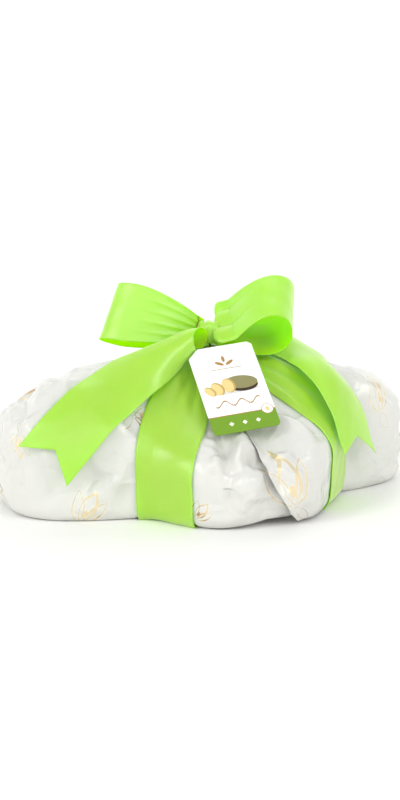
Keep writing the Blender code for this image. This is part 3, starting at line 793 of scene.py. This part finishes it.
def band_line(direction, aside, under, lift):
    """
    The run of a band beside its middle line, from the middle of the underside up to the middle of the top.
    Gives distance from the middle, height, and the direction off the paper as distance and height, at steps
    that are closer together where the line bends.
    """
    level = np.linspace(0.2, 2.9, 300)
    turn = 0
    for _ in range(30):
        radius, height = side_point(direction + turn, level)
        turn = (turn + np.arcsin(np.clip(aside / radius, -0.9, 0.9))) / 2
    distance = radius * np.cos(turn)
    outer = distance > CROWN
    inner = np.linspace(CROWN, 0, 30)
    spot = np.arctan2(aside, inner)
    over = top_height(direction + spot, np.hypot(inner, aside) / outline(direction + spot))
    distance = np.concatenate([distance[outer], inner])
    height = np.concatenate([height[outer], over])
    off_distance, off_height = off_line(distance, height)
    distance, height = distance + off_distance * BAND_CLEAR, height + off_height * BAND_CLEAR
    height = height + lift * (1 - smooth(14, 32, distance)) * (height > CENTRE_HEIGHT / 2)
    above = height > under
    distance, height = distance[above], height[above]
    distance = np.concatenate([np.linspace(0, distance[0] - 3, 20), distance])
    height = np.concatenate([np.full(20, under), height])
    step = np.hypot(np.diff(distance), np.diff(height))
    bend = np.abs(np.diff(np.unwrap(np.arctan2(np.diff(height), np.diff(distance))), prepend=0))
    step = step * np.where(height[1:] > under, 1, UNDER_WEIGHT) + BEND_WEIGHT * bend
    length = np.concatenate([[0], np.cumsum(step)])
    even = np.linspace(0, length[-1], BAND_STEPS)
    distance, height = np.interp(even, length, distance), np.interp(even, length, height)
    return np.stack([distance, height, *off_line(distance, height)])


def band_place(degrees, under, lift, full_width, knot_halves):
    """One turn of ribbon round the pack, in the ribbon's own terms."""
    sides = []
    for direction in (math.radians(degrees), math.radians(degrees) + math.pi):
        asides = np.linspace(-RIBBON_HALF, RIBBON_HALF, BAND_LINES)
        sides.append(np.stack([band_line(direction, aside, under, lift) for aside in asides]))

    def read(side, aside, share):
        """The run at a distance beside the middle line and a share of the way up, read between the lines."""
        row = np.clip((aside + RIBBON_HALF) / (2 * RIBBON_HALF) * (BAND_LINES - 1), 0, BAND_LINES - 1.0001)
        column = np.clip(share, 0, 1) * (BAND_STEPS - 1.0001)
        low, left = row.astype(int), column.astype(int)
        up, along = (row - low)[:, None], (column - left)[:, None]
        table = sides[side].transpose(0, 2, 1)
        first = table[low, left] * (1 - along) + table[low, left + 1] * along
        second = table[low + 1, left] * (1 - along) + table[low + 1, left + 1] * along
        return first * (1 - up) + second * up

    def place(along, across):
        points = np.zeros((len(along), 3))
        for side, sign in ((0, 1), (1, -1)):
            here = (along < 0.5) if side == 0 else (along >= 0.5)
            share = np.abs(2 * along[here] - 1) * 0.994
            middle = read(side, np.zeros(here.sum()), share)
            narrow = (1 - smooth(BAND_NARROW_START, full_width, middle[:, 0])) * smooth(0.4, 0.6, share)
            knot_half = np.where(across[here] * sign < 0, *knot_halves)
            aside = across[here] * (RIBBON_HALF - (RIBBON_HALF - knot_half) * narrow) * sign
            line = read(side, aside, share)
            pleat = 0.5 - 0.5 * np.cos(math.pi * BAND_PLEATS * (across[here] + 1))
            pleat = pleat * BAND_PLEAT_HEIGHT * 4 * narrow * (1 - narrow) * smooth(14, 24, middle[:, 0])
            distance, height = line[:, 0] + pleat * line[:, 2], line[:, 1] + pleat * line[:, 3]
            turn = math.radians(degrees) + (0 if side == 0 else math.pi)
            points[here, 0] = distance * math.cos(turn) - aside * math.sin(turn)
            points[here, 1] = distance * math.sin(turn) + aside * math.cos(turn)
            points[here, 2] = height
        return points

    return place


for name, run in BANDS.items():
    ribbon(name, BAND_GRID, band_place(*run))

# The knot: the same ribbon pulled tight twice round the waist of the bow, so it is creased lengthwise over
# its front.

# Its middle and half size in the bow's frame, how square it is, how far its corners reach, how much its
# waist is drawn in, and how many creases it has and how deep they are
KNOT = (1.8, -4.0, 110.7)
KNOT_HALF = (7.8, 8.0, 9.0)
KNOT_SQUARE = 0.62
KNOT_CORNER = 1.18
KNOT_WAIST = 0.14
KNOT_CREASES, KNOT_CREASE_DEEP = 9, 0.06

bpy.ops.mesh.primitive_uv_sphere_add(segments=96, ring_count=48, radius=1)
knot = bpy.context.object
ball = vertices_of(knot)
rounded = np.sign(ball) * np.abs(ball) ** KNOT_SQUARE
rounded /= np.maximum(1, np.linalg.norm(rounded, axis=1) / KNOT_CORNER)[:, None]
creased = KNOT_CREASE_DEEP * np.cos(KNOT_CREASES * rounded[:, 0])
waist = 1 - KNOT_WAIST * (1 - rounded[:, 0] ** 2) + creased
rounded[:, 1:] *= waist[:, None]
place_vertices(knot, in_bow(rounded * np.array(KNOT_HALF) + np.array(KNOT)))
knot.data.shade_smooth()
knot_wrap = np.arctan2(ball[:, 2], ball[:, 1]) * KNOT_HALF[2]
set_map(knot, "weave", np.stack([knot_wrap, ball[:, 0] * KNOT_HALF[0]], -1)[corner_vertices(knot)])
finish(knot, "satin_bow_knot", lime_satin, "satin_ribbon", "bow_knot")

# The loops: the same satin ribbon leaves the knot pleated, opens to its full width, turns round and comes
# back to be held in the knot again.

# Each loop: where it starts, where its tip is, the way across the ribbon, the rest of its shape, and how
# many pleats it has and how high they are
LOOPS = {
    "bow_loop_left": (
        (-3.5, -4, 111.8),
        (-65.1, -3.4, 124.9),
        (0.245, 0.346, 0.892),
        (-15.7, -13, 0.36, (0.62, 0.62), -1.4, 0, 0, 6.6),
        (5, 0.9),
    ),
    "bow_loop_right": (
        (6.6, -3, 113.9),
        (57.2, -6.8, 129.5),
        (-0.166, 0.916, 0.537),
        (16.1, 19, 0.09, (1.18, 0.34), 5, 2.6, 0.22, 11.0),
        (2.5, 3.0),
    ),
}
# Half the distance between the two strands at the knot
LOOP_GAP = 3.4
LOOP_GRID = (160, 40)
# How strong the pleats still are where the ribbon has opened, and fade towards the tip
PLEATS_FADE = 0.4


def loop_place(start, tip, width_way, shape, pleats):
    """
    Front and back are how far the loop's two strands stand off the line from the knot to the tip, past a
    neck that is a share of its reach. Gathered is half its width at the knot, and it has its full width
    from open_from along. A larger roundness, one for each strand, brings its widest place nearer to the
    tip. Sweep leans the tip, and heel the end at the knot.
    """
    front, back, open_from, roundness, sweep, heel, neck, gathered = shape
    start, tip = np.array(start, float), np.array(tip, float)
    reach = np.linalg.norm(tip - start)
    out, wide = unit(tip - start), unit(width_way)
    thick = unit(np.cross(out, wide))

    def place(along, across):
        turn = 2 * math.pi * along
        ahead = (1 - np.cos(turn)) / 2
        past_neck = np.clip((ahead - neck) / (1 - neck), 0, 1)
        fuller = past_neck ** (np.where(along < 0.5, *roundness) / 2)
        swell = 2 * np.sqrt(past_neck * (1 - past_neck)) * fuller
        side = np.where(along < 0.5, front, -back) * swell + LOOP_GAP * np.cos(turn / 2)
        from_knot = np.minimum(along, 1 - along)
        gather = 1 - smooth(-0.03, open_from, from_knot)
        half = RIBBON_HALF - (RIBBON_HALF - gathered) * gather
        puffs = 2 * np.sqrt(np.abs(np.sin(math.pi / 2 * pleats[0] * (across + 1)))) - 1
        pleated = np.maximum(gather, PLEATS_FADE * (1 - smooth(0.05, 0.32, from_knot)))
        ruffle = puffs * pleats[1] * pleated * smooth(0, 0.05, from_knot)
        return in_bow(
            start
            + out * (reach * ahead + across * (sweep * ahead**2 + heel * (1 - ahead) ** 4))[:, None]
            + thick * (side + ruffle)[:, None]
            + wide * (across * half)[:, None]
        )

    return place


ribbon("bow_loop_left", LOOP_GRID, loop_place(*LOOPS["bow_loop_left"]), outer=-1)
ribbon("bow_loop_right", LOOP_GRID, loop_place(*LOOPS["bow_loop_right"]))

# The tails: the two ends of the satin ribbon. Each leaves the knot rolled up round its length, opens flat
# as it falls over the pack, and is cut to a swallow tail.

# Route of each tail from the knot down: its middle, the way across it, its half width, and how far it is
# rolled up in degrees
LEFT_TAIL = (
    ((1.7, -21.0, 110.6), (0.1, -1.0, -0.1), 20, 330),
    ((-10.0, -22.5, 109.2), (0.15, -1.0, -0.2), 20, 310),
    ((-26.0, -33.0, 103.2), (0.4, -0.75, -0.5), 20, 190),
    ((-45.5, -47.5, 92.4), (0.5, -0.65, -0.55), 20, 70),
    ((-59.8, -59.5, 82.0), (0.6, -0.6, -0.55), 20, 30),
    ((-73.9, -73.5, 72.0), (0.6, -0.5, -0.6), 20, 20),
    ((-88.0, -83.5, 57.1), (0.62, -0.33, -0.7), 20, 20),
    ((-102.9, -89.0, 39.6), (0.75, -0.2, -0.6), 20, 25),
)
RIGHT_TAIL = (
    ((7.6, 3.4, 105.2), (0.1, 0.8, 0.6), 7, 60),
    ((28.0, 12.0, 103.4), (0.12, 0.95, 0.3), 12, 40),
    ((48.0, 7.0, 103.6), (0.24, 0.88, 0.36), 15, 50),
    ((62.8, 4.8, 97.0), (0.41, 0.88, 0.2), 16, 50),
    ((74.3, -9.2, 91.2), (0.54, 0.84, 0.02), 17, 95),
    ((84.8, -19.0, 81.4), (0.57, 0.82, -0.03), 19, 70),
    ((94.9, -28.0, 61.9), (0.6, 0.8, -0.1), 20, 30),
    ((100.0, -30.5, 43.4), (0.6, 0.8, -0.2), 20, 20),
    ((105.5, -31.0, 27.0), (0.6, 0.8, -0.2), 20, 20),
)
TAIL_NOTCH = 13.0
# How far the left tail's mouth and the right tail's end are slanted
LEFT_MOUTH = 13
RIGHT_SLANT = 6.5
TAIL_GRID = (130, 40)
# A tail's direction is read over this share of its length to either side
TAIL_STEP = 0.004


def smooth_line(route, values, share):
    """Values given at the points of a route, read smoothly at a share 0 to 1 of the route's length."""
    values = np.array(values, float)
    values = values.reshape(len(values), -1)
    chords = step_lengths(route)
    knots = np.concatenate([[0], np.cumsum(chords)]) / chords.sum()
    slopes = np.gradient(values, knots, axis=0)
    place = np.clip(np.searchsorted(knots, share, side="right") - 1, 0, len(values) - 2)
    step = (knots[place + 1] - knots[place])[:, None]
    part = (share - knots[place])[:, None] / step
    return (
        (2 * part**3 - 3 * part**2 + 1) * values[place]
        + (part**3 - 2 * part**2 + part) * step * slopes[place]
        + (3 * part**2 - 2 * part**3) * values[place + 1]
        + (part**3 - part**2) * step * slopes[place + 1]
    )


def tail_place(route, mouth, slant):
    """
    A bow end that follows a route, rolled up round its length near the knot and flat further down, with a
    notch cut in its end. The roll's near side starts mouth millimetres after its far side, so it can be
    seen into. The end is cut slantwise: its side at across -1 is twice slant millimetres shorter than the
    other.
    """
    middles, wide_ways, halves, rolls = zip(*route)
    length = step_lengths(middles).sum()

    def place(along, across):
        half_roll = np.radians(smooth_line(middles, rolls, along)[:, 0]) / 2
        start = mouth / length * (0.5 + 0.5 * np.sin(across * half_roll)) * (1 - smooth(0, 0.25, along))
        end = (TAIL_NOTCH * (1 - np.abs(across)) + slant * (1 - across)) / length * smooth(0.5, 1, along)
        share = np.clip(along + start - end, 0, 1)
        middle = smooth_line(middles, middles, share)
        ahead = smooth_line(middles, middles, np.minimum(share + TAIL_STEP, 1))
        ahead = unit(ahead - smooth_line(middles, middles, np.maximum(share - TAIL_STEP, 0)))
        wide = smooth_line(middles, wide_ways, share)
        wide = unit(wide - ahead * (wide * ahead).sum(1)[:, None])
        face = np.cross(ahead, wide)
        half = smooth_line(middles, halves, share)[:, 0]
        half_roll = np.radians(smooth_line(middles, rolls, share)[:, 0]) / 2
        bend = half / half_roll
        sideways = bend * np.sin(across * half_roll)
        proud = bend * (np.cos(across * half_roll) - np.sin(half_roll) / half_roll)
        return in_bow(middle + wide * sideways[:, None] + face * proud[:, None])

    return place


ribbon("bow_tail_left", TAIL_GRID, tail_place(LEFT_TAIL, LEFT_MOUTH, 0))
ribbon("bow_tail_right", TAIL_GRID, tail_place(RIGHT_TAIL, 0, RIGHT_SLANT))

# The tag: a die-cut card, its top corners cut off slantwise and its bottom corners rounded, printed on its
# front. It leans back on the front wing and hangs from the knot.
TAG_MIDDLE = (16.9, -50.0, 82.2)
TAG_WIDE = (0.968, 0.23, 0.121)
TAG_UP = (-0.251, 0.744, 0.62)
TAG_SIZE = (44.0, 72.0)
TAG_THICK = 0.6
TAG_CUT = 7.5
TAG_CORNER = 3.0
TAG_SMALL_CUT = 2.5
TAG_CORNER_STEPS = 8

half_width, half_length = TAG_SIZE[0] / 2, TAG_SIZE[1] / 2
tag_corners = [
    (-half_width, half_length - TAG_CUT),
    (-half_width + TAG_CUT, half_length),
    (half_width - TAG_SMALL_CUT, half_length),
    (half_width, half_length - TAG_SMALL_CUT),
]
for side in (1, -1):
    for step in range(TAG_CORNER_STEPS + 1):
        share = step / TAG_CORNER_STEPS
        angle = math.pi / 2 * (share if side > 0 else 1 - share)
        x = side * (half_width - TAG_CORNER + TAG_CORNER * math.cos(angle))
        tag_corners.append((x, -half_length + TAG_CORNER - TAG_CORNER * math.sin(angle)))
tag_outline = bpy.data.curves.new("tag_outline", "CURVE")
tag_outline.dimensions = "2D"
tag_outline.fill_mode = "BOTH"
tag_outline.extrude = TAG_THICK / 2
spline = tag_outline.splines.new("POLY")
spline.points.add(len(tag_corners) - 1)
for point, (x, y) in zip(spline.points, tag_corners):
    point.co = (x, y, 0, 1)
spline.use_cyclic_u = True
tag_curve = new_object("tag_outline", tag_outline)
tag_mesh = bpy.data.meshes.new_from_object(tag_curve.evaluated_get(bpy.context.evaluated_depsgraph_get()))
bpy.data.objects.remove(tag_curve)
tag = new_object("card_tag", tag_mesh)
welded = tag.modifiers.new("weld", "WELD")
welded.merge_threshold = 0.01 * MM
card_points = vertices_of(tag)
set_map(tag, "print", card_points[corner_vertices(tag), :2])
tag_wide = unit(TAG_WIDE)
tag_up = unit(np.array(TAG_UP) - tag_wide * np.dot(TAG_UP, tag_wide))
tag_face = np.cross(tag_wide, tag_up)
place_vertices(tag, in_bow(np.array(TAG_MIDDLE) + card_points @ np.stack([tag_wide, tag_up, tag_face])))

# Coated card, offset printed: bright white and lightly glossy. Fields of colour are drawn in millimetres from
# the middle of the card: a green strip under a gold line, a round seal, a sliced loaf and plain ornaments.
CARD_WHITE = "#FBFBF8"
STRIP_GREEN = "#739D24"
GOLD_LINE = "#A9824A"
GLAZE, CRUST, CRUMB, CRUMB_SHADE = "#8F8A5C", "#3A2418", "#E9D08C", "#C2A15C"
STRIP_TOP = -22.0
STRIP_LINE_HALF = 0.35
# The wavy line: how long a wave is, how high, its height on the card, half its stroke and half its length
WAVE_LONG, WAVE_HIGH, WAVE_AT, WAVE_STROKE, WAVE_HALF = 11, 2.2, -12.5, 0.55, 15.0
# The straight rule: its height on the card, half its stroke and half its length
RULE_AT, RULE_STROKE, RULE_HALF = 16.2, 0.25, 10.5
# The lozenges on the strip: their spacing, height on the card, half size, how far they reach, and their
# colour
LOZENGE_SPACING, LOZENGE_AT, LOZENGE_HALF, LOZENGES_HALF = 8.8, -29.2, 1.7, 15.5
LOZENGE_WHITE = "#F2F7E0"
# Ellipses, painted in this order: middle, half size, lean in degrees, colour
TAG_ELLIPSES = (
    ((1.0, -3.6), (16.5, 1.6), 2, "#D9D9D4"),
    ((6.5, 1.2), (10.5, 5.6), -6, CRUST),
    ((6.5, 3.4), (10.8, 5.4), -6, GLAZE),
    ((-2.2, 2.0), (4.3, 6.0), 8, CRUMB_SHADE),
    ((-2.8, 1.9), (3.6, 5.4), 8, CRUMB),
    ((-9.8, 0.4), (4.0, 5.6), 22, CRUMB_SHADE),
    ((-10.6, 0.2), (3.5, 5.0), 22, CRUMB),
    ((-15.2, -1.0), (2.9, 4.6), 34, CRUMB_SHADE),
    ((-15.8, -1.2), (2.4, 4.0), 34, CRUMB),
    ((-3.4, 21.0), (3.2, 1.2), -32, GOLD_LINE),
    ((3.4, 21.0), (3.2, 1.2), 32, GOLD_LINE),
    ((0.0, 24.5), (1.1, 2.6), 0, GOLD_LINE),
    ((16.9, -21.6), (4.0, 4.0), 0, GOLD_LINE),
    ((16.9, -21.6), (3.6, 3.6), 0, CARD_WHITE),
    ((16.9, -21.6), (1.3, 1.9), 0, CRUMB),
)

printed_card, tree = new_material("offset_printed_card")
print_at = add(tree, "UVMap", uv_map="print").outputs[0]
print_x, print_y, _ = add(tree, "SeparateXYZ", (print_at,)).outputs
strip_line = add(tree, "Math", (print_y, STRIP_TOP + STRIP_LINE_HALF), operation="LESS_THAN").outputs[0]
strip = add(tree, "Math", (print_y, STRIP_TOP - STRIP_LINE_HALF), operation="LESS_THAN").outputs[0]
wave = add(tree, "Math", (print_x, math.tau / WAVE_LONG), operation="MULTIPLY").outputs[0]
wave = add(tree, "Math", (wave,), operation="SINE").outputs[0]
wave = add(tree, "Math", (wave, WAVE_HIGH, WAVE_AT), operation="MULTIPLY_ADD").outputs[0]
wave = add(tree, "Math", (print_y, wave, WAVE_STROKE), operation="COMPARE").outputs[0]
rule = add(tree, "Math", (print_y, RULE_AT, RULE_STROKE), operation="COMPARE").outputs[0]
step = add(tree, "Math", (print_x, LOZENGE_SPACING / 2), operation="PINGPONG").outputs[0]
rise = add(tree, "Math", (print_y, LOZENGE_AT), operation="SUBTRACT").outputs[0]
rise = add(tree, "Math", (rise,), operation="ABSOLUTE").outputs[0]
lozenges = add(tree, "Math", (step, rise), operation="ADD").outputs[0]
lozenges = add(tree, "Math", (lozenges, LOZENGE_HALF), operation="LESS_THAN").outputs[0]
layers = [(strip_line, GOLD_LINE), (strip, STRIP_GREEN)]
ornaments = (
    (wave, WAVE_HALF, GOLD_LINE),
    (rule, RULE_HALF, GOLD_LINE),
    (lozenges, LOZENGES_HALF, LOZENGE_WHITE),
)
for mark, half_length, code in ornaments:
    inside = add(tree, "Math", (print_x, 0, half_length), operation="COMPARE").outputs[0]
    layers.append((add(tree, "Math", (mark, inside), operation="MULTIPLY").outputs[0], code))
for middle, half_size, lean, code in TAG_ELLIPSES:
    layers.append((ellipse(tree, print_at, middle, half_size, -math.radians(lean)), code))
colour = linear(CARD_WHITE)
for mask, code in layers:
    colour = add(tree, "Mix", {0: mask, "A": colour, "B": linear(code)}, data_type="RGBA").outputs["Result"]
shader = add(tree, "BsdfPrincipled", {"Base Color": colour, "Roughness": 0.35, "IOR": 1.5})
add(tree, "OutputMaterial", (shader.outputs[0],))
finish(tag, "card_tag", printed_card, "tag_card", "gift_tag")

# The string: two brown cotton threads twisted together. It runs from under the front of the knot, where it is
# tied in, to the back of the tag.
STRING_ROUTE = ((2.0, -10.6, 104.0), (2.8, -14.6, 103.0), (3.4, -20.6, 101.3), (3.4, -26.5, 100.0))
STRING_RADIUS = 0.7
STRING_TWIST = 2.2
# Each thread's radius and its distance from the middle of the string, as shares of the string's radius
THREAD_RADIUS, THREAD_OFF = 0.52, 0.46
STRING_BROWN = "#5A3A22"

# Twisted cotton: matt and slightly fuzzy. Its fuzz of a tenth of a millimetre is drawn as 0.4 mm so that it
# shows.
FUZZ = 0.4
FUZZ_DEEP = 0.2

cotton, tree = new_material("twisted_cotton")
place = add(tree, "TexCoord").outputs["Object"]
fuzz = add(tree, "TexNoise", {"Vector": place, "Scale": 1 / (FUZZ * MM), "Detail": 3.0}).outputs[0]
fuzz = add(tree, "Bump", {"Height": fuzz, "Strength": 0.5, "Distance": FUZZ_DEEP * MM})
looks = {"Base Color": linear(STRING_BROWN), "Roughness": 0.85, "Normal": fuzz.outputs[0]}
shader = add(tree, "BsdfPrincipled", looks)
add(tree, "OutputMaterial", (shader.outputs[0],))

string_curve = bpy.data.curves.new("tag_string", "CURVE")
string_curve.dimensions = "3D"
string_curve.bevel_depth = STRING_RADIUS * THREAD_RADIUS * MM
string_curve.bevel_resolution = 3
string_curve.use_fill_caps = True
shares = np.linspace(0, 1, 60)
route = smooth_line(STRING_ROUTE, STRING_ROUTE, shares)
ahead = unit(np.gradient(route, axis=0))
side_way = unit(np.cross(ahead, (0, 0, 1)))
up_way = np.cross(side_way, ahead)
travelled = step_lengths(route).sum() * shares
for thread in (0, math.pi):
    turn = math.tau * travelled / STRING_TWIST + thread
    off = side_way * np.cos(turn)[:, None] + up_way * np.sin(turn)[:, None]
    line = route + STRING_RADIUS * THREAD_OFF * off
    spline = string_curve.splines.new("POLY")
    spline.points.add(len(line) - 1)
    for point, spot in zip(spline.points, in_bow(line)):
        point.co = (*(spot * MM), 1)
string = new_object("tag_string", string_curve)
finish(string, "cotton_string", cotton, "tag_cord", "tag_string")
